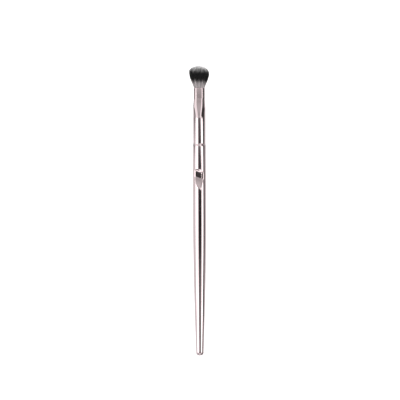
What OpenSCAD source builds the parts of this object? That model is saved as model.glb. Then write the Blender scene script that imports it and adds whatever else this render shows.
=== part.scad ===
// Eyeshadow brush: an oval domed tuft in a pressed ferrule on a long plated handle with a thumb scoop.
// Each piece is drawn along the brush's own axis, tail at zero, and then laid on its back along +Y.

/* [Handle] */
// Length of the handle from its tail to the shoulder that the ferrule seats on
handle_len = 130.8; // [110:0.1:160]
// Radius of the handle's straight grip stretch
grip_r = 4.1; // [3.9:0.05:5]
// Length of the straight grip stretch
grip_len = 16; // [8:0.5:16]
// Length of the handle between the grip stretch and the shoulder
front_len = 27.8; // [26:0.1:32]
// Radius of the tail before its end is rounded
tail_r = 2.3; // [2:0.05:3]
// Corner radius of the tail end
tail_round = 1.7; // [0.5:0.05:2]
// Step from the lip of the ferrule out to the handle's shoulder
shoulder_step = 0.08; // [0:0.01:0.3]
// Corner radius of the shoulder
shoulder_round = 0.35; // [0.1:0.05:0.4]

/* [Thumb scoop] */
// Depth of the scoop's floor below the surface of the handle
scoop_depth = 1; // [0.6:0.05:1.2]
// Distance from the shoulder back to the front end of the floor
scoop_back = 17.5; // [16:0.1:18.2]
// Length of the level floor
scoop_floor_len = 2.6; // [1:0.1:3.6]
// Radius of the wall in front of the floor
scoop_front_r = 2.8; // [1.8:0.05:4]
// Radius of the run-out from the floor toward the tail
scoop_runout_r = 20; // [15:0.5:26]
// Radius of the floor's bow across the handle
scoop_bow_r = 16; // [10:0.5:30]
// Distance from the middle of the floor to the foot of its right wall
scoop_wall_w = 0.9; // [0.5:0.05:1.5]
// Radius at the foot of the right wall
scoop_wall_r = 2.5; // [1:0.05:4]
// Turn of the scoop round the handle
scoop_turn = 6; // [0:0.5:20]

/* [Tenon and bore] */
// Length of the tenon inside the ferrule
tenon_len = 14; // [8:0.5:16]
// Chamfer at the end of the tenon
tenon_chamfer = 0.4; // [0.1:0.05:0.6]
// Radial room for adhesive between tenon and ferrule
glue_gap = 0.14; // [0.1:0.01:0.3]
// Radius of the steel rod in the handle
rod_r = 1.25; // [0.8:0.05:1.25]
// Radial play of the rod in its bore
rod_play = 0.05; // [0.03:0.01:0.1]
// Depth of the blind bore from the end of the tenon
bore_len = 90; // [60:0.5:100]
// Length of the adhesive bead over the rod
bead_len = 5; // [2:0.5:6]
// Length of the bore that stays empty above the bead
bore_spare = 3; // [2:0.5:12]

/* [Ferrule] */
// Length of the ferrule
ferrule_len = 35.3; // [32:0.1:42]
// Outer radius of the ferrule's round stretch
ferrule_r = 3.83; // [3.6:0.01:3.9]
// Flare of the ferrule's lip at the shoulder
lip_flare = 0.09; // [0:0.01:0.2]
// Length over which the lip flares out
lip_len = 0.8; // [0.4:0.1:4]
// Wall of the ferrule
ferrule_wall = 0.25; // [0.2:0.01:0.4]
// Half width of the pressed neck
neck_half_w = 3.35; // [3:0.01:3.6]
// Half width of the oval mouth
mouth_half_w = 3.43; // [3.1:0.01:3.7]
// Half thickness of the oval mouth
mouth_half_t = 2.8; // [2.3:0.05:3.2]
// How flat the pressed faces of the mouth are, from 2 for a plain oval
mouth_power = 2.8; // [2:0.1:3.5]
// Length of the oval stretch below the mouth
neck_len = 6.3; // [4:0.1:8]
// Length over which the width narrows to the neck
narrow_len = 6.4; // [4:0.1:10]
// Distance from the end of the tenon to where the pressing starts
press_gap = 2.7; // [1:0.1:6]

/* [Tuft] */
// Length of the fibres outside the ferrule
hair_len = 13.9; // [10:0.1:20]
// Width of the tuft at its widest
tuft_w = 12.3; // [9:0.1:16]
// Thickness of the tuft at its widest
tuft_t = 8.16; // [6.5:0.02:8.2]
// Share of the tuft's thickness, as an oval, at which its two faces are flat
tuft_flat = 0.92; // [0.85:0.01:1]
// Height of the domed end above the widest point
dome_h = 4.5; // [3:0.1:6]
// Difference in length between neighbouring fibres
tip_stagger = 0.3; // [0:0.05:0.6]
// Rings of strands round the middle of the tuft
strand_rings = 11; // [10:1:12]
// Depth of the fibre roots' face below the mouth
root_depth = 2.4; // [1.5:0.1:4]
// Thickness of the slice that the strands grow from
slice_t = 1; // [0.5:0.1:1.5]

/* [Roots] */
// Free room between the end of the tenon and the fibre roots
root_gap = 5.6; // [3:0.1:8]
// Length of the bare root bundle under the thread
bundle_len = 2; // [1:0.1:3]
// Radial thickness of the binding thread
thread_t = 0.3; // [0.1:0.05:0.4]
// Width of the bound band
thread_w = 1.5; // [0.6:0.1:1.8]
// Skin of clearance between glued faces
skin = 0.03; // [0.02:0.005:0.05]

/* [Hidden] */

$fn = 64;
// Overrun of a cutting shape past the face that it cuts
overrun = 1;

// Places along the axis, from the tail
mouth_z = handle_len + ferrule_len;
total_len = mouth_z + hair_len;
root_z = mouth_z - root_depth;
slice_z = root_z - slice_t;
tenon_z = handle_len + tenon_len;
plug_z = tenon_z + root_gap;
bundle_z = plug_z + bundle_len;
bore_z = tenon_z - bore_len;
rod_len = bore_len - bead_len - bore_spare;
grip_end = handle_len - front_len;
taper_len = grip_end - grip_len;
neck_z = mouth_z - neck_len;
press_len = neck_z - tenon_z - press_gap;
wide_z = total_len - dome_h;

// Radii that follow from a fit
ferrule_bore_r = ferrule_r - ferrule_wall;
tenon_r = ferrule_bore_r - glue_gap;
bore_r = rod_r + rod_play;
shoulder_r = ferrule_r + lip_flare + shoulder_step;

// The brush rests on the lower of its grip and its tuft
axis_h = max(grip_r, tuft_t / 2);

rose = [0.89, 0.75, 0.77];
fibre = [0.30, 0.29, 0.30];
amber = [0.80, 0.74, 0.62];

// Lays a piece that is drawn along +Z on its back, with the tuft toward +Y and the scoop upward
module lay_down() {
    translate([0, -total_len / 2, axis_h])
        rotate([-90, 0, 0])
            children();
}

// Zero before start, one after start + run, and a soft S between them
function ease(z, start, run) = (1 - cos(180 * min(1, max(0, (z - start) / run)))) / 2;

// Points of a quarter circle about (x, z), from angle a0 to a1
function quarter(x, z, r, a0, a1, steps) =
    [for (i = [0:steps]) let (a = a0 + (a1 - a0) * i / steps) [x + r * cos(a), z + r * sin(a)]];

/* Handle */

taper_steps = 16;
front_steps = 5;
round_steps = 6;

// Radius on the long taper, a quarter sine from the tail to the grip
function taper_r(z) = tail_r + (grip_r - tail_r) * sin(90 * z / taper_len);

// Radius in front of the grip, easing in to the shoulder
front_run = handle_len - shoulder_round - grip_end;
function front_r(z) = grip_r - (grip_r - shoulder_r) * pow((z - grip_end) / front_run, 2);

module handle_body() {
    outline = concat(
        [[0, 0]],
        quarter(taper_r(tail_round) - tail_round, tail_round, tail_round, -90, 0, round_steps),
        [for (i = [1:taper_steps]) let (z = tail_round + (taper_len - tail_round) * i / taper_steps)
            [taper_r(z), z]],
        [for (i = [0:front_steps]) let (z = grip_end + front_run * i / front_steps) [front_r(z), z]],
        quarter(shoulder_r - shoulder_round, handle_len - shoulder_round, shoulder_round,
            90 / round_steps, 90, round_steps - 1),
        [[tenon_r, handle_len], [tenon_r, tenon_z - tenon_chamfer], [tenon_r - tenon_chamfer, tenon_z],
            [bore_r, tenon_z], [bore_r, bore_z], [0, bore_z]]);
    rotate_extrude() polygon(outline);
}

// How far the scoop's floor rises beside its middle. Only its right side has a wall.
function scoop_rise(w) = w * w / (2 * scoop_bow_r) + pow(max(0, w - scoop_wall_w), 2) / (2 * scoop_wall_r);

floor_h = grip_r - scoop_depth;
cut_top = grip_r + overrun;
section_steps = 32;
// The section reaches to the handle's side on the left, and on the right to where the wall is out of it
section_low = -grip_r;
section_high = scoop_wall_w + sqrt(2 * scoop_wall_r * scoop_depth);
section_ws = [for (i = [0:section_steps]) section_low + (section_high - section_low) * i / section_steps];

// A wedge of a wheel about an axis across the handle, from straight down round by an angle toward the tail
module scoop_wheel(r, turn, sides) {
    rim = [for (w = section_ws) [max(0, r - scoop_rise(w)), w]];
    section = concat([[0, section_low]], rim, [[0, section_high]]);
    translate([0, -floor_h - r, 0]) rotate([0, 90, 0]) rotate([0, 0, 90 - turn])
        rotate_extrude(angle = turn, $fn = sides) polygon(section);
}

runout_sides = 160;

// A level floor between a steep wall in front and a long run-out toward the tail
module scoop_shape() {
    section = concat([[section_low, -cut_top]], [for (w = section_ws) [w, -floor_h - scoop_rise(w)]],
        [[section_high, -cut_top]]);
    rotate([0, 0, -scoop_turn]) translate([0, 0, handle_len - scoop_back]) {
        mirror([0, 0, 1]) scoop_wheel(scoop_front_r, 90, $fn);
        translate([0, 0, -scoop_floor_len]) {
            translate([0, 0, -skin]) linear_extrude(scoop_floor_len + 2 * skin) polygon(section);
            scoop_wheel(scoop_runout_r, acos(1 - (scoop_depth + overrun) / scoop_runout_r), runout_sides);
        }
    }
}

module handle() {
    color(rose) lay_down() difference() {
        handle_body();
        scoop_shape();
    }
}

module weight_rod() {
    color("silver") lay_down() translate([0, 0, bore_z]) cylinder(r = rod_r, h = rod_len);
}

module rod_glue() {
    color(amber) lay_down() translate([0, 0, bore_z + rod_len]) cylinder(r = bore_r - skin, h = bead_len);
}

module ferrule_glue() {
    color(amber) lay_down() translate([0, 0, handle_len]) difference() {
        cylinder(r = ferrule_bore_r - skin, h = tenon_len - tenon_chamfer);
        translate([0, 0, -overrun]) cylinder(r = tenon_r + skin, h = tenon_len + 2 * overrun);
    }
}

/* Ferrule */

ferrule_sides = 64;
press_steps = 10;

// Outer half width and half thickness of the ferrule at a height
function lip(z) = lip_flare * (1 - ease(z, handle_len, lip_len));
function half_w(z) = ferrule_r + lip(z)
    - (ferrule_r - neck_half_w) * ease(z, neck_z - narrow_len, narrow_len)
    + (mouth_half_w - neck_half_w) * ease(z, neck_z, neck_len);
function half_t(z) = ferrule_r + lip(z)
    - (ferrule_r - mouth_half_t) * ease(z, neck_z - press_len, press_len);

// A circle has a power of 2, and a pressed oval with flat faces has more
function power(z) = 2 + (mouth_power - 2) * ease(z, neck_z - press_len, press_len);
function bowed(share, power) = sign(share) * pow(abs(share), 2 / power);

// One ring of points, inset from the outside of the ferrule
function ring(z, inset) = [for (i = [0:ferrule_sides - 1]) let (a = 360 * i / ferrule_sides)
    [(half_w(z) - inset) * bowed(cos(a), power(z)), (half_t(z) - inset) * bowed(sin(a), power(z)), z]];

// Heights at which the ferrule's shape changes, between two ends
function stations(low, high) = let (mid = [
        for (i = [1:3]) handle_len + lip_len * i / 3,
        for (i = [0:press_steps]) neck_z - press_len + press_len * i / press_steps,
        neck_z + neck_len / 2])
    concat([low], [for (z = mid) if (z > low + skin && z < high - skin) z], [high]);

// Two triangles for each side between one ring and the next
function wall_faces(rings, closed) = [
    for (k = [0:rings - (closed ? 1 : 2)])
        for (i = [0:ferrule_sides - 1])
            let (a = k * ferrule_sides, b = ((k + 1) % rings) * ferrule_sides, j = (i + 1) % ferrule_sides)
                each [[a + i, b + i, b + j], [a + i, b + j, a + j]]];

module ferrule() {
    outside = stations(handle_len, mouth_z);
    inside = [for (i = [len(outside) - 1:-1:0]) outside[i]];
    points = concat(
        [for (z = outside) each ring(z, 0)],
        [for (z = inside) each ring(z, ferrule_wall + lip(z))]);
    color(rose) lay_down()
        polyhedron(points = points, faces = wall_faces(2 * len(outside), true));
}

// A solid that fills the ferrule's bore between two heights
module bore_fill(low, high) {
    levels = stations(low, high);
    n = len(levels);
    points = concat([for (z = levels) each ring(z, ferrule_wall + skin)], [[0, 0, low], [0, 0, high]]);
    foot = n * ferrule_sides;
    ends = [for (i = [0:ferrule_sides - 1]) let (j = (i + 1) % ferrule_sides, top = (n - 1) * ferrule_sides)
        each [[foot, i, j], [foot + 1, top + j, top + i]]];
    polyhedron(points = points, faces = concat(wall_faces(n, false), ends));
}

// The bundle under the thread is as thick as the bore leaves room for
bundle_r = min(half_w(bundle_z), half_t(bundle_z)) - ferrule_wall - thread_t - 2 * skin;

module fibre_plug() {
    color(amber) lay_down() {
        bore_fill(bundle_z, slice_z);
        translate([0, 0, plug_z]) cylinder(r = bundle_r, h = bundle_len + skin);
    }
}

module binding_thread() {
    color("white") lay_down() translate([0, 0, plug_z + (bundle_len - thread_w) / 2]) difference() {
        cylinder(r = bundle_r + skin + thread_t, h = thread_w);
        translate([0, 0, -overrun]) cylinder(r = bundle_r + skin, h = thread_w + 2 * overrun);
    }
}

/* Tuft: three-sided strands on a lattice of rings, fused to one slice of set roots */

// The lattice is a hexagon of triangles bent into rings. Ring k holds 6 k points.
function ring_count(k) = 1 + 3 * k * (k - 1);
function spot(k, i) = k == 0 ? 0 : ring_count(k) + i % (6 * k);
spots = concat([[0, 0]], [for (k = [1:strand_rings]) for (i = [0:6 * k - 1])
    let (a = 60 * i / k) [cos(a), sin(a)] * k / strand_rings]);

// Triangles of one sector between ring k - 1 and ring k, with their base outside or inside
function based_out(s, k) = [for (j = [0:k - 1]) [spot(k, s * k + j), spot(k, s * k + j + 1),
    spot(k - 1, s * (k - 1) + j)]];
function based_in(s, k) = k < 2 ? [] : [for (j = [0:k - 2]) [spot(k - 1, s * (k - 1) + j),
    spot(k, s * k + j + 1), spot(k - 1, s * (k - 1) + j + 1)]];
// Every second triangle carries a strand, and the ones between are bare, so strands meet only at corners
strand_feet = [for (k = [1:strand_rings]) for (s = [0:5]) each s % 2 == 0 ? based_out(s, k) : based_in(s, k)];
bare_feet = [for (k = [1:strand_rings]) for (s = [0:5]) each s % 2 == 0 ? based_in(s, k) : based_out(s, k)];

// Half width and half thickness of the whole bundle inside the mouth
root_w = min(half_w(slice_z), half_w(mouth_z)) - ferrule_wall - skin;
root_t = min(half_t(slice_z), half_t(mouth_z)) - ferrule_wall - skin;

// Moves a point of the unit disc along its radius, so that its ring becomes an oval with two flat faces
function oval_norm(p) = pow(pow(abs(p[0]), mouth_power) + pow(abs(p[1]), mouth_power), 1 / mouth_power);
function pressed(p, flat) = norm(p) == 0 ? p : p * norm(p) / max(oval_norm(p), abs(p[1]) / flat);

// How far the bundle has opened at a height: none at the mouth and all at the widest point
function opened(z) = let (t = min(1, max(0, (z - mouth_z) / (wide_z - mouth_z)))) (t + sin(90 * t)) / 2;
// The middle of an outermost strand lies this share of the way out, and it reaches the tuft's full size
reach_share = 1 - 1 / (3 * strand_rings);
function bundle_w(z) = root_w + (tuft_w / 2 / reach_share - root_w) * opened(z);
function bundle_t(z) = root_t + (tuft_t / 2 / reach_share / tuft_flat - root_t) * opened(z);
function in_bundle(at, z) = let (p = pressed(at, 1 - (1 - tuft_flat) * opened(z)))
    [p[0] * bundle_w(z), p[1] * bundle_t(z), z];
function root_point(p, z) = let (q = pressed(p, 1)) [q[0] * root_w, q[1] * root_t, z];

// Height of a strand's tip on the dome, from its share of the way out
dome_power = 2;
function tip_z(share) = wide_z + dome_h * pow(1 - pow(min(1, share), dome_power), 1 / dome_power);

// Where a strand's rings lie between mouth and tip, and how thick it is there beside its foot
level_shares = [0, 0.5, 0.86];
thick_shares = [0.86, 1.02, 0.74];
stagger_shares = [0, 0.6, 0.2, 1, 0.4];

function middle(foot) = (spots[foot[0]] + spots[foot[1]] + spots[foot[2]]) / 3;
function strand_point(at, corner, z, thick) =
    in_bundle(at, z) + (root_point(corner, z) - root_point(at, z)) * thick;
// The points of strand m above its foot: three on each level, then the tip
function strand_points(m) = let (
        foot = strand_feet[m],
        at = middle(foot),
        top = tip_z(norm(at)) - tip_stagger * stagger_shares[m % len(stagger_shares)])
    concat(
        [for (l = [0:len(level_shares) - 1]) let (z = mouth_z + (top - mouth_z) * level_shares[l])
            for (c = foot) strand_point(at, spots[c], z, thick_shares[l])],
        [in_bundle(at, top)]);

// The faces of one strand, whose lowest ring is its foot and whose own points start at first
function strand_faces(foot, first) = let (
        levels = len(level_shares),
        low = function (l, c) l == 0 ? foot[c % 3] : first + 3 * (l - 1) + c % 3,
        tip = first + 3 * levels)
    [for (c = [0:2]) each concat(
        [for (l = [0:levels - 1]) each [
            [low(l, c), low(l + 1, c), low(l + 1, c + 1)],
            [low(l, c), low(l + 1, c + 1), low(l, c + 1)]]],
        [[low(levels, c), tip, low(levels, c + 1)]])];

module bristle_tuft() {
    rim = 6 * strand_rings;
    rim_top = ring_count(strand_rings);
    rim_low = len(spots);
    own = 3 * len(level_shares) + 1;
    first = rim_low + rim + 1;
    points = concat(
        [for (p = spots) root_point(p, root_z)],
        [for (i = [0:rim - 1]) root_point(spots[rim_top + i], slice_z)],
        [[0, 0, slice_z]],
        [for (m = [0:len(strand_feet) - 1]) each strand_points(m)]);
    faces = concat(
        [for (f = bare_feet) [f[0], f[2], f[1]]],
        [for (i = [0:rim - 1]) let (j = (i + 1) % rim) each [
            [rim_low + i, rim_top + i, rim_top + j],
            [rim_low + i, rim_top + j, rim_low + j],
            [rim_low + rim, rim_low + i, rim_low + j]]],
        [for (m = [0:len(strand_feet) - 1]) each strand_faces(strand_feet[m], first + own * m)]);
    echo(strands = len(strand_feet), tuft_triangles = len(faces));
    color(fibre) lay_down() polyhedron(points = points, faces = faces);
}

bristle_tuft();
fibre_plug();
binding_thread();
ferrule();
ferrule_glue();
handle();
weight_rod();
rod_glue();
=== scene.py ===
"""Eyeshadow brush on its CAD frame: plated handle with a thumb scoop, pressed ferrule and fibre tuft."""

import math
import random

import bmesh
import bpy
from bpy.props import FloatProperty, FloatVectorProperty, IntProperty, PointerProperty
from mathutils import Matrix, Vector


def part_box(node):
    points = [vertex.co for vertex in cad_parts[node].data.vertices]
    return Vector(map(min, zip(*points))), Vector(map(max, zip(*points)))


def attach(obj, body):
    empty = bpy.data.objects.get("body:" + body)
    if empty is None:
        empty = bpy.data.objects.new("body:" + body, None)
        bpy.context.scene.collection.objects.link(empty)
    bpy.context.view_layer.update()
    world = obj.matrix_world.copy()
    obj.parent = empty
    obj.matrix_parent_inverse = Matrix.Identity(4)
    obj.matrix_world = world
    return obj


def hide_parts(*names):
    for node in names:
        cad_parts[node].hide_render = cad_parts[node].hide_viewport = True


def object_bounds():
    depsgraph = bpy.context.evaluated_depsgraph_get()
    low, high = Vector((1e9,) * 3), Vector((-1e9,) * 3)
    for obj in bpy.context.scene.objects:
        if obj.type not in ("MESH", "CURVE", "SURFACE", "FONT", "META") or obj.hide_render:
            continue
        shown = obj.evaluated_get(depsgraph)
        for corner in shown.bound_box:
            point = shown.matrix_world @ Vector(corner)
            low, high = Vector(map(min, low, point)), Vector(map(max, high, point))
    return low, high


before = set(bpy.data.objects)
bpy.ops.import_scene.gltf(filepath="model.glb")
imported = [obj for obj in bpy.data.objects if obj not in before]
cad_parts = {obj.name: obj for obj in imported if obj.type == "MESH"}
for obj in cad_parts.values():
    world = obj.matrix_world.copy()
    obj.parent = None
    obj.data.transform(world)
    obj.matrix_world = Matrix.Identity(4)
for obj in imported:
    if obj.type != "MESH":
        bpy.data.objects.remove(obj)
CAD_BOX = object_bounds()

bl_info = {
    "name": "Eyeshadow brush",
    "version": (1, 0, 0),
    "blender": (4, 5, 0),
    "location": "3D View > Sidebar > Brush",
    "description": "Builds the handle, ferrule, tuft and studio of an eyeshadow brush round its CAD frame",
    "category": "Object",
}

MM = 0.001
BODY = "root"

# Places along the brush and its axis, taken from the frame
HANDLE_LOW, HANDLE_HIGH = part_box("handle")
FERRULE_LOW, FERRULE_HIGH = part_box("ferrule")
BORE_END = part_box("weight_rod")[0][1]
BORE_RADIUS = (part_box("rod_glue")[1][0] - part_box("rod_glue")[0][0]) / 2
PLUG_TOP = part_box("fibre_plug")[1][1]
TAIL_Y = HANDLE_LOW[1]
TENON_END_Y = HANDLE_HIGH[1]
SEAM_Y = FERRULE_LOW[1]
MOUTH_Y = FERRULE_HIGH[1]
TIP_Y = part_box("bristle_tuft")[1][1]
GRIP_RADIUS = (HANDLE_HIGH[0] - HANDLE_LOW[0]) / 2
AXIS_Z = HANDLE_HIGH[2] - GRIP_RADIUS
FLOOR_Z = CAD_BOX[0][2]


def length(name, description, default):
    """A length in metres."""
    return FloatProperty(name=name, description=description, default=default, min=0.0, precision=5,
                         subtype="DISTANCE", unit="LENGTH")


def angle(name, description, degrees):
    """An angle, given in degrees."""
    return FloatProperty(name=name, description=description, default=math.radians(degrees), subtype="ANGLE",
                         unit="ROTATION")


def share(name, description, default):
    """A factor between 0 and 1."""
    return FloatProperty(name=name, description=description, default=default, min=0.0, max=1.0,
                         subtype="FACTOR")


def tint(name, description, default):
    """A linear colour."""
    return FloatVectorProperty(name=name, description=description, default=default, size=3, min=0.0, max=1.0,
                               subtype="COLOR")


class BrushHandleSizes(bpy.types.PropertyGroup):
    """Sizes of the plated handle."""
    grip_radius: length("Grip radius", "Radius of the straight grip stretch", GRIP_RADIUS)
    grip_length: length("Grip length", "Length of the straight grip stretch", 16 * MM)
    front_length: length("Front length", "Length between the grip stretch and the shoulder", 27.8 * MM)
    tail_radius: length("Tail radius", "Radius of the tail before its end is rounded", 2.3 * MM)
    tail_round: length("Tail rounding", "Corner radius of the tail end", 1.7 * MM)
    shoulder_radius: length("Shoulder radius", "Radius of the handle where the ferrule seats", 4.0 * MM)
    shoulder_round: length("Shoulder rounding", "Corner radius of the shoulder", 0.35 * MM)
    tenon_radius: length("Tenon radius", "Radius of the tenon inside the ferrule", 3.44 * MM)
    tenon_chamfer: length("Tenon chamfer", "Chamfer at the end of the tenon", 0.4 * MM)
    scoop_depth: length("Scoop depth", "Depth of the thumb scoop's floor below the surface", 1.0 * MM)
    scoop_back: length("Scoop distance", "From the shoulder back to the front end of the floor", 17.5 * MM)
    scoop_floor: length("Scoop floor", "Length of the level floor", 2.6 * MM)
    scoop_front: length("Front radius", "Radius of the wall in front of the floor", 2.8 * MM)
    scoop_runout: length("Run-out radius", "Radius of the run-out from the floor toward the tail", 20.0 * MM)
    scoop_bow: length("Floor bow", "Radius of the floor across the handle", 16.0 * MM)
    scoop_wall: length("Wall distance", "From the middle of the floor to its right wall's foot", 0.6 * MM)
    scoop_wall_foot: length("Wall foot radius", "Radius at the foot of the right wall", 3.0 * MM)
    scoop_turn: angle("Scoop turn", "Turn of the scoop round the handle", 6)
    scoop_slant: share("Scoop slant", "How far its right side lies behind its left, for its width", 0.35)
    rim_round: length("Rim rounding", "How far the scoop's right rim is rounded over", 1.55 * MM)
    left_rim_round: length("Left rim rounding", "The same on the left", 0.5 * MM)
    runout_share: share("Run-out rounding", "Share of these roundings at the end of the run-out", 0.55)
    sides: IntProperty(name="Sides", description="Faces round the handle", default=192, min=24, max=256)


class BrushFerruleSizes(bpy.types.PropertyGroup):
    """Sizes of the pressed ferrule."""
    radius: length("Radius", "Outer radius of the round stretch", 3.83 * MM)
    wall: length("Wall", "Thickness of the tube's wall", 0.25 * MM)
    lip_flare: length("Lip flare", "Flare of the lip at the shoulder", 0.09 * MM)
    lip_length: length("Lip length", "Length over which the lip flares out", 0.8 * MM)
    neck_half_width: length("Neck half width", "Half width of the pressed neck", 3.46 * MM)
    mouth_half_width: length("Mouth half width", "Half width of the oval mouth", 3.47 * MM)
    mouth_half_thickness: length("Mouth half thickness", "Half thickness of the oval mouth", 2.8 * MM)
    squareness: FloatProperty(name="Squareness", default=2.8, min=2.0, max=5.0,
                              description="How flat the pressed faces are, from 2 for an oval")
    neck_length: length("Neck length", "Length of the oval stretch below the mouth", 6.3 * MM)
    narrow_length: length("Narrowing", "Length over which the width narrows to the neck", 6.4 * MM)
    press_length: length("Pressing", "Length over which the tube is pressed flat", 12.3 * MM)
    edge_round: length("Edge rounding", "Rounding of the rolled mouth edge and of the lip", 0.11 * MM)
    sides: IntProperty(name="Sides", description="Faces round the ferrule", default=160, min=24, max=256)


class BrushTuftSizes(bpy.types.PropertyGroup):
    """Sizes of the fibre tuft."""
    width: length("Width", "Width of the tuft at its widest", 12.3 * MM)
    thickness: length("Thickness", "Thickness of the tuft at its widest", 8.16 * MM)
    flat: share("Flat faces", "Share of the full thickness at which the two faces are flat", 0.92)
    dome_height: length("Dome height", "Height of the domed end above the widest point", 5.2 * MM)
    fibre_thickness: length("Fibre thickness", "Thickness of one fibre", 0.1 * MM)
    doublings: IntProperty(name="Doublings", default=12, min=4, max=13,
                           description="How often one fibre is doubled to fill one half of the tuft")
    fuzz: length("Fuzz", "How far the loose outermost fibres stand off the tuft", 0.16 * MM)
    stagger: length("Stagger", "Largest difference in length between neighbouring fibres", 0.5 * MM)
    stray_share: share("Stray fibres", "Share of the fibres that lean out of the tuft", 0.006)
    seed: IntProperty(name="Seed", description="Start of the random draws", default=7, min=0)


class BrushFinishes(bpy.types.PropertyGroup):
    """Colours and polish."""
    plating: tint("Plating", "Colour of the rose plating", (0.89, 0.75, 0.77))
    polish: share("Roughness", "Roughness of the polished plating", 0.06)
    root_colour: tint("Root colour", "Colour of the fibres at the ferrule", (0.74, 0.68, 0.69))
    band_colour: tint("Band colour", "Colour of the dark band of the fibres", (0.005, 0.005, 0.0055))
    tip_colour: tint("Tip colour", "Colour of the fibre tips", (0.93, 0.92, 0.92))
    resin_colour: tint("Adhesive colour", "Colour of the set adhesive", (0.62, 0.52, 0.36))
    thread_colour: tint("Thread colour", "Colour of the binding thread", (0.85, 0.84, 0.80))
    steel_colour: tint("Steel colour", "Colour of the steel rod", (0.55, 0.55, 0.56))


class BrushStudio(bpy.types.PropertyGroup):
    """Floor, light and camera."""
    floor_size: length("Floor size", "Half the width of the floor", 6.0)
    light_distance: length("Light distance", "Distance of the soft boxes from the brush", 1.0)
    radiance: FloatProperty(name="Brightness", description="Brightness of the soft boxes", default=1.3,
                            min=0.0)
    view_height: length("Frame height", "Height of the view at the brush", 248.4 * MM)
    lens: FloatProperty(name="Lens", default=200.0, min=20.0,
                        description="Focal length of the camera in millimetres")


GROUPS = (BrushHandleSizes, BrushFerruleSizes, BrushTuftSizes, BrushFinishes, BrushStudio)
SETTINGS = ("brush_handle", "brush_ferrule", "brush_tuft", "brush_finish", "brush_studio")


# Shapes shared by the pieces

# Points closer than this are one
MERGE_DISTANCE = 0.0005 * MM


def ease(value, start, run):
    """0 before start, 1 after start + run, and a soft S between them."""
    t = min(1.0, max(0.0, (value - start) / run))
    return (1.0 - math.cos(math.pi * t)) / 2.0


def soft_min(a, b, rounding):
    """The smaller of two heights, with the corner between them rounded over."""
    near = max(rounding - abs(a - b), 0.0)
    return min(a, b) - near * near / (4.0 * rounding)


def arc(centre_r, centre_y, radius, start, end, steps):
    """Points (radius, along) of an arc, its angles in degrees from straight out."""
    turns = (math.radians(start + (end - start) * i / steps) for i in range(steps + 1))
    return [(centre_r + radius * math.cos(t), centre_y + radius * math.sin(t)) for t in turns]


def spread(low, high, steps):
    """Evenly spaced values after low, up to high."""
    return [low + (high - low) * i / steps for i in range(1, steps + 1)]


def spun(profile, closed, sides):
    """A bmesh of a profile of (radius, along) points spun round the brush's axis."""
    bm = bmesh.new()
    verts = [bm.verts.new((r, along, AXIS_Z)) for r, along in profile]
    pairs = list(zip(verts, verts[1:])) + ([(verts[-1], verts[0])] if closed else [])
    for pair in pairs:
        bm.edges.new(pair)
    bmesh.ops.spin(bm, geom=bm.verts[:] + bm.edges[:], cent=(0.0, 0.0, AXIS_Z), axis=(0.0, 1.0, 0.0),
                   dvec=(0.0, 0.0, 0.0), angle=math.tau, space=Matrix.Identity(4), steps=sides,
                   use_merge=True, use_normal_flip=False, use_duplicate=False)
    bmesh.ops.remove_doubles(bm, verts=bm.verts[:], dist=MERGE_DISTANCE)
    bmesh.ops.recalc_face_normals(bm, faces=bm.faces[:])
    return bm


def add_mesh(name, bm, material):
    """Turns a bmesh into an object with one material."""
    mesh = bpy.data.meshes.new(name)
    bm.to_mesh(mesh)
    bm.free()
    mesh.materials.append(material)
    made = bpy.data.objects.new(name, mesh)
    bpy.context.scene.collection.objects.link(made)
    return made


def add_piece(name, bm, material, nodes):
    """Turns a bmesh into a smooth piece that rides on the brush and stands for its CAD nodes."""
    piece = add_mesh(name, bm, material)
    faces = piece.data.polygons
    faces.foreach_set("use_smooth", [True] * len(faces))
    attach(piece, BODY)
    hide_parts(*nodes)


# Materials

class Nodes:
    """A short way to build a node tree."""

    def __init__(self, tree):
        self.tree = tree
        tree.nodes.clear()

    def add(self, kind, inputs=(), **settings):
        """Adds a node, sets its properties, and fills its inputs with values or links."""
        node = self.tree.nodes.new(kind)
        for key, value in settings.items():
            setattr(node, key, value)
        self.fill(node, dict(inputs))
        return node

    def fill(self, node, inputs):
        """Fills a node's inputs with values or links."""
        for key, value in inputs.items():
            if isinstance(value, bpy.types.NodeSocket):
                self.tree.links.new(value, node.inputs[key])
            else:
                node.inputs[key].default_value = value

    def math(self, operation, a, b=0.0, c=0.0, clamp=False):
        """A math node's result."""
        return self.add("ShaderNodeMath", {0: a, 1: b, 2: c}, operation=operation, use_clamp=clamp).outputs[0]

    def mix(self, factor, a, b, blend="MIX"):
        """Two colours mixed."""
        inputs = {"Factor": factor, 6: a, 7: b}
        return self.add("ShaderNodeMix", inputs, data_type="RGBA", blend_type=blend).outputs[2]

    def ramp(self, factor, stops):
        """A ramp through (position, grey) stops."""
        node = self.add("ShaderNodeValToRGB", {"Fac": factor})
        node.color_ramp.interpolation = "LINEAR"
        elements = node.color_ramp.elements
        while len(elements) > 1:
            elements.remove(elements[-1])
        for i, (position, value) in enumerate(stops):
            element = elements[0] if i == 0 else elements.new(position)
            element.position = position
            element.color = grey(value)
        return node.outputs["Color"]

    def noise(self, vector, scale, detail):
        """Fractal noise in 0 to 1."""
        node = self.add("ShaderNodeTexNoise", {"Vector": vector, "Scale": scale, "Detail": detail})
        return node.outputs["Fac"]

    def stretched(self, vector, scale):
        """A vector scaled along each axis."""
        return self.add("ShaderNodeMapping", {"Vector": vector, "Scale": scale}).outputs[0]

    def span(self, value, low, high, to_low=0.0, to_high=1.0, smooth=True):
        """A value mapped from one range to another and clamped."""
        return self.add("ShaderNodeMapRange", {0: value, 1: low, 2: high, 3: to_low, 4: to_high}, clamp=True,
                        interpolation_type="SMOOTHSTEP" if smooth else "LINEAR").outputs[0]


def rgba(colour):
    """A colour with an alpha of 1."""
    return (*colour[:3], 1.0)


def grey(value):
    """A grey with an alpha of 1."""
    return rgba((value,) * 3)


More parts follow.
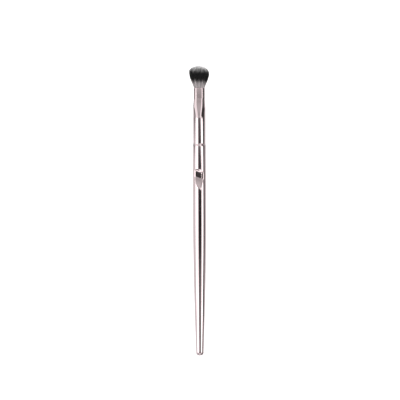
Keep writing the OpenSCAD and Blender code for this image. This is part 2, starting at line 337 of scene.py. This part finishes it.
def darker(colour, part):
    """A colour brought down to a part of its brightness."""
    return rgba([c * part for c in colour])


def new_material(name):
    """A material with only a Principled shader, and its nodes."""
    material = bpy.data.materials.new(name)
    material.use_nodes = True
    nodes = Nodes(material.node_tree)
    shader = nodes.add("ShaderNodeBsdfPrincipled")
    output = nodes.add("ShaderNodeOutputMaterial", {"Surface": shader.outputs[0]})
    output.is_active_output = True
    place = nodes.add("ShaderNodeTexCoord").outputs["Object"]
    return material, nodes, shader, place


def bump(nodes, shader, height, strength, distance):
    """Gives a shader a bump from a height."""
    node = nodes.add("ShaderNodeBump", {"Height": height, "Strength": strength, "Distance": distance})
    nodes.fill(shader, {"Normal": node.outputs[0]})


SMUDGE_TINT = (0.985, 0.975, 0.965)


def plating(name, finish, stretch):
    """Polished rose plating with soft smudges, a faint orange peel and hairlines along the polishing."""
    material, nodes, shader, place = new_material(name)
    smudge = nodes.noise(place, 70.0, 3.0)
    smudged = rgba([c * k for c, k in zip(finish.plating, SMUDGE_TINT)])
    colour = nodes.mix(nodes.span(smudge, 0.35, 0.7), rgba(finish.plating), smudged)
    hairs = nodes.noise(nodes.stretched(place, stretch), 1.0, 4.0)
    rough = nodes.math("ADD", nodes.span(smudge, 0.4, 0.75, finish.polish * 0.8, finish.polish * 1.5),
                       nodes.span(hairs, 0.55, 0.75, 0.0, finish.polish * 0.5))
    nodes.fill(shader, {"Base Color": colour, "Roughness": rough, "Metallic": 1.0})
    peel = nodes.math("MULTIPLY_ADD", nodes.noise(place, 420.0, 1.0), 0.8, nodes.math("MULTIPLY", hairs, 0.2))
    bump(nodes, shader, peel, 0.05, 0.01 * MM)
    return material


# What a fibre carries for its colour: its height, its lightness, and where its band and its crown begin
FIBRE_VALUES = ("rise", "tone", "band", "crown")


def fibre(name, finish):
    """Fibre that is light at its root, dark in a band and pale at its tip."""
    material, nodes, shader, place = new_material(name)
    rise, tone, band, crown = (nodes.add("ShaderNodeAttribute", attribute_name=value).outputs["Fac"]
                               for value in FIBRE_VALUES)
    dark = nodes.span(nodes.math("SUBTRACT", rise, band), -0.13, 0.11)
    pale = nodes.span(nodes.math("SUBTRACT", rise, crown), -0.14, 0.14, smooth=False)
    lower = nodes.mix(dark, rgba(finish.root_colour), rgba(finish.band_colour))
    whole = nodes.mix(pale, lower, rgba(finish.tip_colour))
    fleck = nodes.noise(place, 900.0, 1.0)
    light = nodes.math("MULTIPLY_ADD", tone, 0.75, nodes.math("MULTIPLY_ADD", fleck, 0.3, 0.45))
    lights = nodes.add("ShaderNodeCombineColor", {0: light, 1: light, 2: light}).outputs[0]
    nodes.fill(shader, {"Base Color": nodes.mix(1.0, whole, lights, "MULTIPLY"), "Roughness": 0.55,
                        "Specular IOR Level": 0.3, "Sheen Weight": 0.1})
    return material


def resin(name, finish):
    """Set clear adhesive, a little cloudy, with a rippled skin."""
    material, nodes, shader, place = new_material(name)
    cloud = nodes.noise(place, 600.0, 4.0)
    clouded = darker(finish.resin_colour, 0.72)
    colour = nodes.mix(nodes.span(cloud, 0.3, 0.7), rgba(finish.resin_colour), clouded)
    nodes.fill(shader, {"Base Color": colour, "Roughness": nodes.span(cloud, 0.3, 0.7, 0.12, 0.3)})
    bump(nodes, shader, nodes.noise(place, 1500.0, 2.0), 0.2, 0.03 * MM)
    return material


def thread(name, finish):
    """Waxed thread wound round the bundle, with painted shade darkening the grooves between its turns."""
    material, nodes, shader, place = new_material(name)
    inputs = {"Vector": place, "Scale": 1100.0, "Distortion": 0.8, "Detail": 2.0}
    winds_and_groove_shade = nodes.add("ShaderNodeTexWave", inputs, wave_type="BANDS", bands_direction="Y").outputs["Fac"]
    # Where the winds are low the colour is darker: painted shade in the grooves between the turns.
    colour = nodes.mix(winds_and_groove_shade, darker(finish.thread_colour, 0.55), rgba(finish.thread_colour))
    nodes.fill(shader, {"Base Color": colour, "Roughness": 0.7})
    bump(nodes, shader, winds_and_groove_shade, 0.6, 0.08 * MM)
    return material


def steel(name, finish):
    """Drawn steel rod with marks along its length."""
    material, nodes, shader, place = new_material(name)
    marks = nodes.noise(nodes.stretched(place, (6000.0, 60.0, 6000.0)), 1.0, 3.0)
    colour = nodes.mix(marks, darker(finish.steel_colour, 0.8), rgba(finish.steel_colour))
    rough = nodes.span(marks, 0.3, 0.7, 0.25, 0.45)
    nodes.fill(shader, {"Base Color": colour, "Roughness": rough, "Metallic": 1.0})
    bump(nodes, shader, marks, 0.2, 0.01 * MM)
    return material


# Handle

# How many steps each stretch of the outline is divided into
TAIL_STEPS = 14
TAPER_STEPS = 80
GRIP_STEPS = 26
SCOOP_STEPS = 140
FRONT_STEPS = 24
SHOULDER_STEPS = 8
BORE_STEPS = 24
# Over what lengths the scoop's roundings change toward the tail and from its left side to its right
RUNOUT_BLEND = 3.0 * MM
RIM_BLEND = 1.5 * MM


def taper_radius(size, y):
    """Radius of the long taper, a quarter sine from the tail to the grip."""
    taper = SEAM_Y - size.front_length - size.grip_length - TAIL_Y
    turn = math.pi / 2.0 * (y - TAIL_Y) / taper
    return size.tail_radius + (size.grip_radius - size.tail_radius) * math.sin(turn)


def handle_profile(size):
    """The handle's outline, from the tail's centre over the outside and the tenon to the end of the bore."""
    grip_end = SEAM_Y - size.front_length
    grip_start = grip_end - size.grip_length
    turn = size.shoulder_round
    front_end = SEAM_Y - turn
    front_run = front_end - grip_end
    scoop_end = SEAM_Y - size.scoop_back + size.scoop_front
    tip = size.tail_round
    cut = size.tenon_chamfer

    def front(y):
        drop = size.grip_radius - size.shoulder_radius
        return size.grip_radius - drop * ((y - grip_end) / front_run) ** 2

    points = [(0.0, TAIL_Y)]
    points += arc(taper_radius(size, TAIL_Y + tip) - tip, TAIL_Y + tip, tip, -90, 0, TAIL_STEPS)
    points += [(taper_radius(size, y), y) for y in spread(TAIL_Y + tip, grip_start, TAPER_STEPS)]
    points += [(size.grip_radius, y) for y in spread(grip_start, grip_end, GRIP_STEPS)]
    points += [(front(y), y) for y in spread(grip_end, scoop_end, SCOOP_STEPS)]
    points += [(front(y), y) for y in spread(scoop_end, front_end, FRONT_STEPS)]
    points += arc(size.shoulder_radius - turn, front_end, turn, 0, 90, SHOULDER_STEPS)[1:]
    points += [(size.tenon_radius, SEAM_Y), (size.tenon_radius, TENON_END_Y - cut),
               (size.tenon_radius - cut, TENON_END_Y), (BORE_RADIUS, TENON_END_Y)]
    points += [(BORE_RADIUS, y) for y in spread(TENON_END_Y, BORE_END, BORE_STEPS)]
    points.append((0.0, BORE_END))
    return points


def scoop_height(size, side, along):
    """Height of the scoop's bowl over the brush's axis, or None beside it. Only its right side has a wall."""
    rise = side ** 2 / (2.0 * size.scoop_bow)
    rise += max(0.0, side - size.scoop_wall) ** 2 / (2.0 * size.scoop_wall_foot)
    if along > 0.0:
        radius, run = size.scoop_front, along
    else:
        radius, run = size.scoop_runout, max(0.0, -along - size.scoop_floor)
    if rise + run >= radius:
        return None
    reach = (radius - rise) ** 2 - run ** 2
    return size.grip_radius - size.scoop_depth + radius - math.sqrt(reach) if reach > 0.0 else None


def carve_scoop(bm, size):
    """Lowers the top of the handle to the bowl of the thumb scoop."""
    out = Vector((-math.sin(size.scoop_turn), 0.0, math.cos(size.scoop_turn)))
    across = Vector((math.cos(size.scoop_turn), 0.0, math.sin(size.scoop_turn)))
    front = SEAM_Y - size.scoop_back
    for v in bm.verts:
        arm = Vector((v.co.x, 0.0, v.co.z - AXIS_Z))
        height, side = arm.dot(out), arm.dot(across)
        if height < 0.0 or arm.length < size.tail_radius:
            continue
        along = v.co.y - front + size.scoop_slant * side
        bowl = scoop_height(size, side, along)
        if bowl is not None:
            shallow = ease(-along, size.scoop_floor, RUNOUT_BLEND)
            rim = size.left_rim_round + (size.rim_round - size.left_rim_round) * ease(side, 0.0, RIM_BLEND)
            rounding = rim * (1.0 - (1.0 - size.runout_share) * shallow)
            v.co += out * (soft_min(height, bowl, rounding) - height)


class BRUSH_OT_handle(bpy.types.Operator):
    """Spins the plated handle, with its tenon and bore, and sinks the thumb scoop into it"""
    bl_idname = "makeup_brush.handle"
    bl_label = "Handle"
    bl_options = {"REGISTER", "UNDO"}

    def execute(self, context):
        size, finish = context.scene.brush_handle, context.scene.brush_finish
        bm = spun(handle_profile(size), False, size.sides)
        carve_scoop(bm, size)
        rose = plating("rose_plating_handle", finish, (30.0, 2500.0, 30.0))
        add_piece("plated_handle", bm, rose, ("handle",))
        return {"FINISHED"}


# Ferrule

# How many steps each stretch of the tube's outline is divided into
MOUTH_STEPS = 10
EDGE_STEPS = 5
LIP_STEPS = 14
TUBE_STEPS = 110
INSIDE_STEPS = 30


def ferrule_profile(size):
    """A closed outline of the tube's wall, its mouth rolled round and its lip rounded off."""
    turn, inner = size.edge_round, size.radius - size.wall
    bend = size.wall / 2.0
    foot, top = SEAM_Y + turn, MOUTH_Y - bend
    points = arc(size.radius - turn, foot, turn, -90, 0, EDGE_STEPS)
    points += [(size.radius, y) for y in spread(foot, foot + size.lip_length, LIP_STEPS)]
    points += [(size.radius, y) for y in spread(foot + size.lip_length, top, TUBE_STEPS)[:-1]]
    points += arc(size.radius - bend, top, bend, 0, 180, MOUTH_STEPS)
    points += [(inner, y) for y in spread(top, SEAM_Y, INSIDE_STEPS)]
    return points


def press_tube(bm, size):
    """Flares the tube's lip and presses its front into an oval mouth."""
    neck_y = MOUTH_Y - size.neck_length
    narrow_y = neck_y - size.narrow_length
    press_y = neck_y - size.press_length
    narrowing = size.radius - size.neck_half_width
    flaring = size.mouth_half_width - size.neck_half_width
    flattening = size.radius - size.mouth_half_thickness
    for v in bm.verts:
        x, z, y = v.co.x, v.co.z - AXIS_Z, v.co.y
        r = math.hypot(x, z)
        lip = size.lip_flare * (1.0 - ease(y, SEAM_Y, size.lip_length))
        pressed = ease(y, press_y, size.press_length)
        half_w = r + lip - narrowing * ease(y, narrow_y, size.narrow_length)
        half_w += flaring * ease(y, neck_y, size.neck_length)
        half_t = r + lip - flattening * pressed
        power = 2.0 + (size.squareness - 2.0) * pressed
        c, s = abs(x) / r, abs(z) / r
        full = (c ** power + s ** power) ** (-1.0 / power)
        if r < size.radius - size.wall / 2.0:
            half_w, half_t = half_w - lip, half_t - lip
        v.co.x = half_w * full * x / r
        v.co.z = AXIS_Z + half_t * full * z / r


class BRUSH_OT_ferrule(bpy.types.Operator):
    """Spins the thin tube of the ferrule and presses its mouth oval"""
    bl_idname = "makeup_brush.ferrule"
    bl_label = "Ferrule"
    bl_options = {"REGISTER", "UNDO"}

    def execute(self, context):
        size, finish = context.scene.brush_ferrule, context.scene.brush_finish
        bm = spun(ferrule_profile(size), True, size.sides)
        press_tube(bm, size)
        rose = plating("rose_plating_ferrule", finish, (2500.0, 30.0, 2500.0))
        add_piece("pressed_ferrule", bm, rose, ("ferrule",))
        return {"FINISHED"}


# Tuft

# Where the rings of a fibre lie from its foot to its tip, and their girths
LEVELS = (0.0, 0.2, 0.45, 0.72, 0.955, 1.0)
LEVEL_GIRTHS = (1.0, 1.0, 1.0, 1.0, 0.85, 0.0)
FIBRE_SIDES = 3
GOLDEN_TURN = math.pi * (3.0 - math.sqrt(5.0))
LOCKS = 240
# The two halves of the tuft and the rings of the unit disc that they fill
TUFT_HALVES = (("tuft_core", 0.0, 0.7), ("tuft_mantle", 0.7, 0.985))
# Gaps between the fibres and the tube's wall and between their feet and the plug
ROOT_CLEARANCE = 0.04 * MM
ROOT_GAP = 1.0 * MM
# How square the dome's outline is, from 2 for an oval, and how far it leans to the left
DOME_POWER = 2.3
DOME_LEAN = 0.06
# How far out a fibre may reach, as a share of the tuft's half width, and how far it stays off the floor
WIDTH_SHARE = 1.02
FLOOR_GAP = 0.002 * MM
# How a fibre leans, waves, is drawn to its lock and varies in girth, and how much shorter a few of them are.
# STRAY_LEAN, WAVE and SHORT_BY are in millimetres
LEAN = 0.11 * MM
STRAY_LEAN = (0.2, 0.6)
WAVE = 0.06
WAVE_TURN = 7.0
LOCK_PULL = (0.1, 0.5)
PULL_START, PULL_RUN = 0.3, 0.7
GIRTHS = (0.8, 1.15)
SHORT_SHARE = 0.06
SHORT_BY = (0.3, 1.6)
# A fibre's lightness: in the middle, by its lock and by chance
TONE, TONE_LOCK, TONE_CHANCE = 0.5, 0.4, 0.2
# Where the dark band begins, as a share of the showing length: in the middle, by the lock, by the tilt and
# the bow across the tuft, in the spike of a lock and at the rim
BAND, BAND_LOCK, BAND_TILT, BAND_BOW, BAND_SPIKE, BAND_RIM = 0.3, 0.06, 0.04, 0.04, 0.03, 0.03
# The same for the pale crown, which the rim doesn't change, and how far chance moves both
CROWN, CROWN_LOCK, CROWN_TILT, CROWN_BOW, CROWN_SPIKE = 0.8, 0.06, 0.025, 0.02, 0.02
START_CHANCE = 0.03


def base_fibre():
    """One three-sided fibre as a bmesh, its rings marked with their level and its corners with theirs."""
    bm = bmesh.new()
    level = bm.verts.layers.int.new("level")
    corner = bm.verts.layers.int.new("corner")
    bm.verts.layers.int.new("strand")
    for name in FIBRE_VALUES:
        bm.verts.layers.float.new(name)
    foot = bmesh.ops.create_circle(bm, cap_ends=False, segments=FIBRE_SIDES, radius=1.0)["verts"]
    for i, v in enumerate(foot):
        v[corner] = i
    edges = bm.edges[:]
    for step in range(1, len(LEVELS)):
        made = bmesh.ops.extrude_edge_only(bm, edges=edges)["geom"]
        edges = [e for e in made if isinstance(e, bmesh.types.BMEdge)
                 and all(v[level] == step - 1 and v in made for v in e.verts)]
        for v in (g for g in made if isinstance(g, bmesh.types.BMVert)):
            v[level] = step
            v.co.z = step
    tips = [v for v in bm.verts if v[level] == len(LEVELS) - 1]
    bmesh.ops.pointmerge(bm, verts=tips, merge_co=(0.0, 0.0, len(LEVELS)))
    return bm


def oval(c, s, power, flat):
    """How far out an oval with two flat faces reaches in the direction (c, s) of the unit circle."""
    full = (abs(c) ** power + abs(s) ** power) ** (1.0 / power)
    return 1.0 / max(full, abs(s) / flat)


class Bundle:
    """The shape that the fibres fill, and the locks that they gather in."""

    def __init__(self, tuft, ferrule, rng):
        self.power, self.flat = ferrule.squareness, tuft.flat
        inset = ferrule.wall + ROOT_CLEARANCE
        self.root_w = ferrule.mouth_half_width - inset
        self.root_t = ferrule.mouth_half_thickness - inset
        self.full_w = tuft.width / 2.0 + tuft.fuzz
        self.full_t = tuft.thickness / 2.0 / tuft.flat
        self.root_y = PLUG_TOP + ROOT_GAP
        self.dome = tuft.dome_height
        self.wide_y = TIP_Y - self.dome
        self.locks = []
        for i in range(LOCKS):
            r, a = math.sqrt((i + 0.5) / LOCKS), i * GOLDEN_TURN
            shade, lift = rng.uniform(-1.0, 1.0), rng.uniform(-1.0, 1.0)
            self.locks.append((r * math.cos(a), r * math.sin(a), shade, lift))

    def opened(self, y):
        """0 at the mouth and 1 at the widest point."""
        t = min(1.0, max(0.0, (y - MOUTH_Y) / (self.wide_y - MOUTH_Y)))
        return (t + math.sin(math.pi / 2.0 * t)) / 2.0

    def point(self, u, v, y):
        """Where a point (u, v) of the unit disc lies at y."""
        r = math.hypot(u, v)
        if r == 0.0:
            return Vector((0.0, y, AXIS_Z))
        o = self.opened(y)
        k = oval(u / r, v / r, self.power, 1.0 - (1.0 - self.flat) * o)
        half_w = self.root_w + (self.full_w - self.root_w) * o
        half_t = self.root_t + (self.full_t - self.root_t) * o
        return Vector((u * k * half_w, y, AXIS_Z + v * k * half_t))

    def tip(self, u, v):
        """Height of the dome, which leans a little to the left, over a point of the unit disc."""
        r = math.hypot(u + DOME_LEAN, v)
        return self.wide_y + self.dome * (1.0 - min(1.0, r) ** DOME_POWER) ** (1.0 / DOME_POWER)


def double_fibre(bm, doublings):
    """Doubles a bmesh's one fibre again and again, numbers the copies and returns how many there are."""
    strand = bm.verts.layers.int["strand"]
    count = 1
    for _ in range(doublings):
        for g in bmesh.ops.duplicate(bm, geom=bm.verts[:] + bm.edges[:] + bm.faces[:])["geom"]:
            if isinstance(g, bmesh.types.BMVert):
                g[strand] += count
        count *= 2
    return count


def draw_fibre(bundle, size, r, a, rng):
    """The random draws for the fibre that stands at radius r and angle a of the unit disc."""
    u, v = r * math.cos(a), r * math.sin(a)
    lock_u, lock_v, shade, lift = min(bundle.locks, key=lambda k: (k[0] - u) ** 2 + (k[1] - v) ** 2)
    gap = math.hypot(lock_u - u, lock_v - v) * math.sqrt(LOCKS)
    spike = max(0.0, 1.0 - gap)
    pull = rng.uniform(*LOCK_PULL)
    stray = rng.random() < size.stray_share
    lean = Vector((rng.gauss(0, 1), 0.0, rng.gauss(0, 1))) * LEAN
    if stray:
        lean += Vector((u, 0.0, v)) * rng.uniform(*STRAY_LEAN) * MM
        lean.z = max(lean.z, 0.0)
    drop = size.stagger * rng.random() ** 2 + (rng.random() < SHORT_SHARE) * rng.uniform(*SHORT_BY) * MM
    return {
        "at": (u, v), "lock": (lock_u, lock_v), "pull": pull, "lean": lean, "turn": rng.random() * math.tau,
        "tip": bundle.tip(u, v) - drop,
        "wave": (rng.uniform(0.0, WAVE) * MM, rng.random() * math.tau),
        "tone": min(1.0, max(0.0, TONE + TONE_LOCK * shade + TONE_CHANCE * rng.uniform(-1.0, 1.0))),
        "band": (BAND + BAND_LOCK * shade - BAND_TILT * u + BAND_BOW * u * u - BAND_SPIKE * spike
                 - BAND_RIM * r ** 4 + rng.gauss(0, START_CHANCE)),
        "crown": (CROWN + CROWN_LOCK * lift - CROWN_TILT * u + CROWN_BOW * u * u + CROWN_SPIKE * spike
                  + rng.gauss(0, START_CHANCE)),
        "girth": size.fibre_thickness / math.sqrt(3.0) * rng.uniform(*GIRTHS),
    }


def grow_fibres(bm, bundle, size, inner, outer, rng):
    """Doubles one fibre until it fills a ring of the bundle, and lays each fibre in its place."""
    count = double_fibre(bm, size.doublings)
    fibres = []
    for i in range(count):
        r = math.sqrt(inner ** 2 + (outer ** 2 - inner ** 2) * (i + 0.5) / count)
        fibres.append(draw_fibre(bundle, size, r, i * GOLDEN_TURN, rng))
    layers = bm.verts.layers
    level, corner, strand = (layers.int[name] for name in ("level", "corner", "strand"))
    rise, tone, band, crown = (layers.float[name] for name in FIBRE_VALUES)
    reach = size.width / 2.0 * WIDTH_SHARE
    for v in bm.verts:
        f = fibres[v[strand]]
        t = LEVELS[v[level]]
        y = bundle.root_y + (f["tip"] - bundle.root_y) * t
        u, w = f["at"]
        hold = f["pull"] * ease(t, PULL_START, PULL_RUN)
        u, w = u + (f["lock"][0] - u) * hold, w + (f["lock"][1] - w) * hold
        at = bundle.point(u, w, y) + f["lean"] * t * t
        at.x += f["wave"][0] * math.sin(f["wave"][1] + WAVE_TURN * t) * t
        at.x = min(reach, max(-reach, at.x))
        spin = f["turn"] + v[corner] * math.tau / FIBRE_SIDES
        girth = f["girth"] * LEVEL_GIRTHS[v[level]]
        v.co = at + Vector((math.cos(spin), 0.0, math.sin(spin))) * girth
        v.co.z = max(v.co.z, FLOOR_Z + FLOOR_GAP)
        v[rise] = (y - MOUTH_Y) / (TIP_Y - MOUTH_Y)
        v[tone], v[band], v[crown] = f["tone"], f["band"], f["crown"]


class BRUSH_OT_tuft(bpy.types.Operator):
    """Grows the fibres of the tuft, its core and its mantle"""
    bl_idname = "makeup_brush.tuft"
    bl_label = "Tuft"
    bl_options = {"REGISTER", "UNDO"}

    def execute(self, context):
        scene = context.scene
        size = scene.brush_tuft
        rng = random.Random(size.seed)
        bundle = Bundle(size, scene.brush_ferrule, rng)
        material = fibre("three_tone_fibre", scene.brush_finish)
        for name, inner, outer in TUFT_HALVES:
            bm = base_fibre()
            grow_fibres(bm, bundle, size, inner, outer, rng)
            bmesh.ops.recalc_face_normals(bm, faces=bm.faces[:])
            add_piece(name, bm, material, ("bristle_tuft",))
        return {"FINISHED"}


# Inner parts

class BRUSH_OT_inside(bpy.types.Operator):
    """Gives the adhesive, thread and rod inside the brush their materials"""
    bl_idname = "makeup_brush.inside"
    bl_label = "Inner parts"
    bl_options = {"REGISTER", "UNDO"}

    def execute(self, context):
        finish = context.scene.brush_finish
        glue = resin("set_adhesive", finish)
        finishes = {"fibre_plug": glue, "ferrule_glue": glue, "rod_glue": glue,
                    "binding_thread": thread("waxed_thread", finish),
                    "weight_rod": steel("drawn_steel", finish)}
        for node, material in finishes.items():
            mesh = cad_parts[node].data
            mesh.materials.clear()
            mesh.materials.append(material)
        return {"FINISHED"}


# Studio

# Each soft box: its turn round the brush and its tilt along it in degrees, its width in degrees, its length,
# its share of the brightness and its shift along the brush
SOFT_BOXES = (("soft_box_left", -47.5, 0.0, 45.0, 0.325, 1.0, -0.0675),
              ("soft_box_right", 52.5, 0.0, 30.0, 0.325, 1.0, -0.0675),
              ("soft_box_foot", 0.0, 44.0, 60.0, 0.6, 0.85, 0.0),
              ("soft_box_head", 0.0, -80.0, 70.0, 0.4, 2.0, 0.0))


def soft_box(studio, name, turn, tilt, width, length, strength, shift):
    """A soft box that faces the brush from above."""
    light = bpy.data.lights.new(name, "AREA")
    light.shape = "RECTANGLE"
    light.size = 2.0 * studio.light_distance * math.tan(math.radians(width / 2.0))
    light.size_y = length
    light.energy = studio.radiance * strength * math.pi * light.size * light.size_y
    box = bpy.data.objects.new(name, light)
    turned = Matrix.Rotation(math.radians(tilt), 4, "X") @ Matrix.Rotation(math.radians(turn), 4, "Y")
    box.matrix_world = (Matrix.Translation((0.0, shift, AXIS_Z)) @ turned
                        @ Matrix.Translation((0.0, 0.0, studio.light_distance)))
    box.visible_camera = False
    bpy.context.scene.collection.objects.link(box)


# Brightness of the room's walls by the angle from straight above, in degrees toward the right of the brush
ROOM_SIDES = ((-180, 0.7), (-95, 0.68), (-84, 0.76), (-72, 0.85), (-22, 0.85), (34, 0.82), (66, 0.82),
              (69, 0.06), (99, 0.08), (112, 0.6), (180, 0.7))
# The same for the head of the room, which the front of the ferrule and the scoop's run-out mirror
HEAD_SIDES = ((-180, 0.5), (-116, 0.45), (-106, 0.05), (-84, 0.05), (-72, 0.7), (-62, 1.0), (-30, 1.0),
              (22, 1.0), (43, 1.2), (45, 0.05), (103, 0.03), (112, 0.5), (180, 0.5))
# Where the head of the room begins, in degrees toward the tuft
HEAD_START = ((1.75, 0.0), (2.15, 1.0))
# Between these degrees its sides move to the left by a share of their angle, and the right edge of its
# ceiling with them, as the sloping pressed faces of the ferrule mirror it
HEAD_NARROWS = (3.2, 5.5)
HEAD_DRAWN = 0.29
# Brightness of the ceiling over the brush, in degrees toward the tuft
ROOM_CEILING = ((-90, 0.3), (-62, 0.3), (-36, 0.1), (-12, 0.05), (-8, 0.24), (-5.5, 0.24), (-4, 0.14),
                (-2.8, 0.05), (-1, 0.02), (1.0, 0.04), (2.1, 0.05), (2.5, 0.62), (3.4, 0.46), (10, 0.4),
                (16, 0.48), (23, 0.55), (30, 0.6), (40, 0.63), (90, 0.63))
# How far the ceiling reaches to the left and right, and the same at the head of the room
CEILING_EDGES = ((-26, 0.0), (-22, 1.0), (37, 1.0), (40, 0.0))
HEAD_EDGES = ((-30, 0.0), (-26, 1.0), (17, 1.0), (22, 0.0))
# How far along the brush the walls reach before the ends of the room show, in degrees
WALL_REACH = ((-22, 0.0), (-14, 1.0), (18, 1.0), (24, 0.0))
# Below the horizon only the walls show, and this is how softly that begins
HORIZON = 0.05


def light_room():
    """The room that the plating mirrors: pale walls, a dark card on the right and a dark gap above."""
    world = bpy.data.worlds.new("studio_room")
    bpy.context.scene.world = world
    world.use_nodes = True
    nodes = Nodes(world.node_tree)

    def by_angle(turn, degrees, stops):
        """A ramp over an angle whose whole range is so many degrees."""
        return nodes.ramp(turn, [(at / degrees + 0.5, value) for at, value in stops])

    way = nodes.add("ShaderNodeTexCoord").outputs["Generated"]
    x, y, z = nodes.add("ShaderNodeSeparateXYZ", {0: way}).outputs
    across = nodes.math("MULTIPLY_ADD", nodes.math("ARCTAN2", x, z), 1.0 / math.tau, 0.5)
    rise = nodes.math("ARCSINE", y)
    along = nodes.math("MULTIPLY_ADD", rise, 1.0 / math.pi, 0.5)
    start, end = map(math.radians, HEAD_NARROWS)
    drawn = nodes.span(rise, start, end, 0.0, HEAD_DRAWN)
    offset = nodes.math("SUBTRACT", across, 0.5)
    head_sides = nodes.math("MULTIPLY_ADD", nodes.math("ABSOLUTE", offset), drawn, across, clamp=True)
    head_edges = nodes.math("MULTIPLY_ADD", nodes.math("MAXIMUM", offset, 0.0), drawn, across, clamp=True)
    ceiling, near, head = (by_angle(along, 180.0, stops) for stops in (ROOM_CEILING, WALL_REACH, HEAD_START))
    walls = nodes.mix(head, by_angle(across, 360.0, ROOM_SIDES), by_angle(head_sides, 360.0, HEAD_SIDES))
    over = nodes.mix(head, by_angle(across, 360.0, CEILING_EDGES), by_angle(head_edges, 360.0, HEAD_EDGES))
    low = nodes.span(z, -HORIZON, HORIZON, 1.0, 0.0)
    sides = nodes.mix(nodes.math("MAXIMUM", near, low), ceiling, walls)
    whole = nodes.mix(over, sides, ceiling)
    ground = nodes.add("ShaderNodeBackground", {"Color": whole, "Strength": 1.0})
    nodes.add("ShaderNodeOutputWorld", {"Surface": ground.outputs[0]})


def lay_floor(studio):
    """A plain pale floor that glows a little and that the plating doesn't mirror."""
    bm = bmesh.new()
    bmesh.ops.create_grid(bm, x_segments=1, y_segments=1, size=studio.floor_size,
                          matrix=Matrix.Translation((0.0, 0.0, FLOOR_Z)))
    material, nodes, shader, place = new_material("pale_floor")
    colour = nodes.mix(nodes.noise(place, 40.0, 2.0), grey(0.86), grey(0.88))
    nodes.fill(shader, {"Base Color": colour, "Roughness": 0.9, "Specular IOR Level": 0.0,
                        "Emission Color": grey(1.0), "Emission Strength": 0.9})
    floor = add_mesh("studio_floor", bm, material)
    floor.visible_glossy = False


# Width of the camera's sensor in millimetres
SENSOR = 36.0
# Where the camera looks, beside the brush's axis and along it, and how far it is turned, in degrees
VIEW_CENTRE = (0.28 * MM, 6.6 * MM)
VIEW_TURN = -0.14
CLIP_END = 100.0


def place_camera(studio):
    """A long lens straight above the brush, its tuft at the top of the view."""
    camera = bpy.data.cameras.new("studio_camera")
    camera.lens = studio.lens
    camera.sensor_width = camera.sensor_height = SENSOR
    camera.sensor_fit = "HORIZONTAL"
    camera.clip_end = CLIP_END
    eye = bpy.data.objects.new("studio_camera", camera)
    distance = studio.view_height * studio.lens / camera.sensor_width
    eye.location = (*VIEW_CENTRE, AXIS_Z + distance)
    eye.rotation_euler = (0.0, 0.0, math.radians(VIEW_TURN))
    bpy.context.scene.collection.objects.link(eye)
    bpy.context.scene.camera = eye


class BRUSH_OT_studio(bpy.types.Operator):
    """Sets up the floor, the soft boxes, the room and the camera"""
    bl_idname = "makeup_brush.studio"
    bl_label = "Studio"
    bl_options = {"REGISTER", "UNDO"}

    def execute(self, context):
        studio = context.scene.brush_studio
        place_camera(studio)
        lay_floor(studio)
        for box in SOFT_BOXES:
            soft_box(studio, *box)
        light_room()
        context.scene.view_settings.view_transform = "Standard"
        return {"FINISHED"}


OPERATORS = (BRUSH_OT_studio, BRUSH_OT_handle, BRUSH_OT_ferrule, BRUSH_OT_tuft, BRUSH_OT_inside)


class BRUSH_PT_panel(bpy.types.Panel):
    """Lists the brush's pieces and their sizes"""
    bl_idname = "BRUSH_PT_panel"
    bl_label = "Eyeshadow brush"
    bl_space_type = "VIEW_3D"
    bl_region_type = "UI"
    bl_category = "Brush"

    def draw(self, context):
        for operator in OPERATORS:
            self.layout.operator(operator.bl_idname)
        for setting in SETTINGS:
            group = getattr(context.scene, setting)
            box = self.layout.box()
            for prop in group.bl_rna.properties:
                if not prop.is_readonly and prop.identifier != "name":
                    box.prop(group, prop.identifier)


def register():
    """Registers the classes and hangs the settings on the scene."""
    for cls in (*GROUPS, *OPERATORS, BRUSH_PT_panel):
        bpy.utils.register_class(cls)
    for setting, group in zip(SETTINGS, GROUPS):
        setattr(bpy.types.Scene, setting, PointerProperty(type=group))


def unregister():
    """Takes the settings and the classes away again."""
    for setting in SETTINGS:
        delattr(bpy.types.Scene, setting)
    for cls in reversed((*GROUPS, *OPERATORS, BRUSH_PT_panel)):
        bpy.utils.unregister_class(cls)


def main():
    """Builds the brush in order."""
    register()
    for operator in OPERATORS:
        getattr(bpy.ops.makeup_brush, operator.bl_idname.split(".")[1])()


if __name__ == "__main__":
    main()
